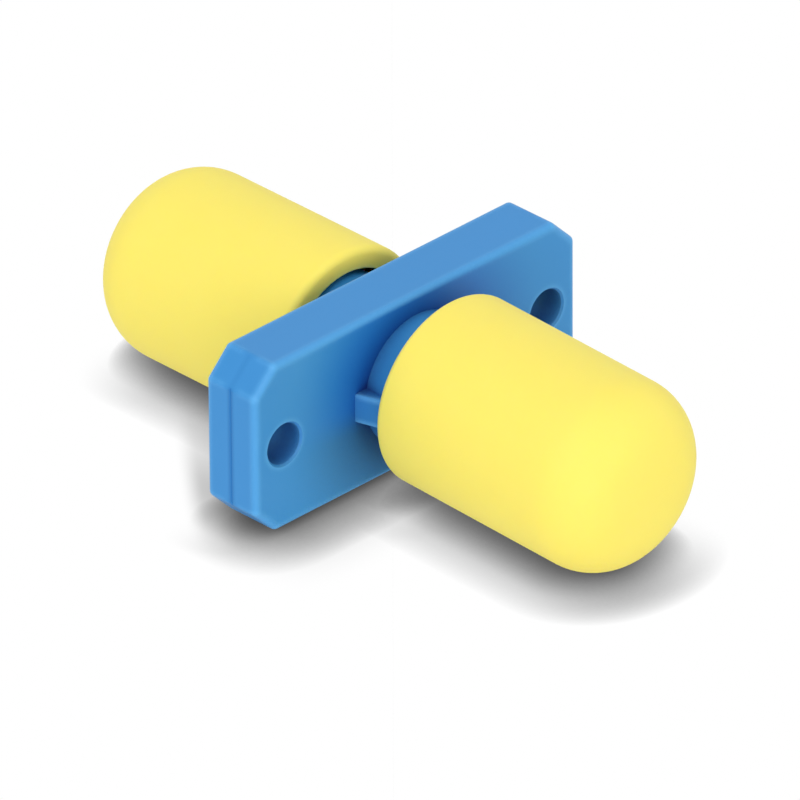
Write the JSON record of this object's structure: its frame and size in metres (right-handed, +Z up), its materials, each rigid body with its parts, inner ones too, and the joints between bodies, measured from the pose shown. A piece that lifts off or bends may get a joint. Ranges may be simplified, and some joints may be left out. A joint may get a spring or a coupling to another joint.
{
  "type": "st fibre adapter",
  "caption": "Bayonet fibre adapter: blue moulded body with a screw flange and a round socket on each side, a slit ceramic sleeve inside, and a soft yellow pull-off dust cap on each port.",
  "frame": {"origin": "on the optical axis, in the weld plane at the middle of the flange's thickness, where the two ferrules meet", "axes": "+X along the flange's length, -Y out of the front port and +Y out of the rear port along the optical axis, +Z up towards the keyways"},
  "size_m": [0.022, 0.0347, 0.01],
  "materials": {
    "blue_plastic": "satin moulded",
    "yellow_vinyl": "matte soft vinyl",
    "white_ceramic": "ground and polished"
  },
  "bodies": {
    "adapter": {"front_body": "blue_plastic", "rear_body": "blue_plastic", "split_sleeve": "white_ceramic"},
    "front_dust_cap": {"front_cap": "yellow_vinyl"},
    "rear_dust_cap": {"rear_cap": "yellow_vinyl"}
  },
  "joints": [
    {"name": "front_cap_pull", "type": "slide", "parent": "adapter", "child": "front_dust_cap", "axis": [0, -1, 0], "range_m": [0, 0.03]},
    {"name": "rear_cap_pull", "type": "slide", "parent": "adapter", "child": "rear_dust_cap", "axis": [0, 1, 0], "range_m": [0, 0.03]}
  ]
}
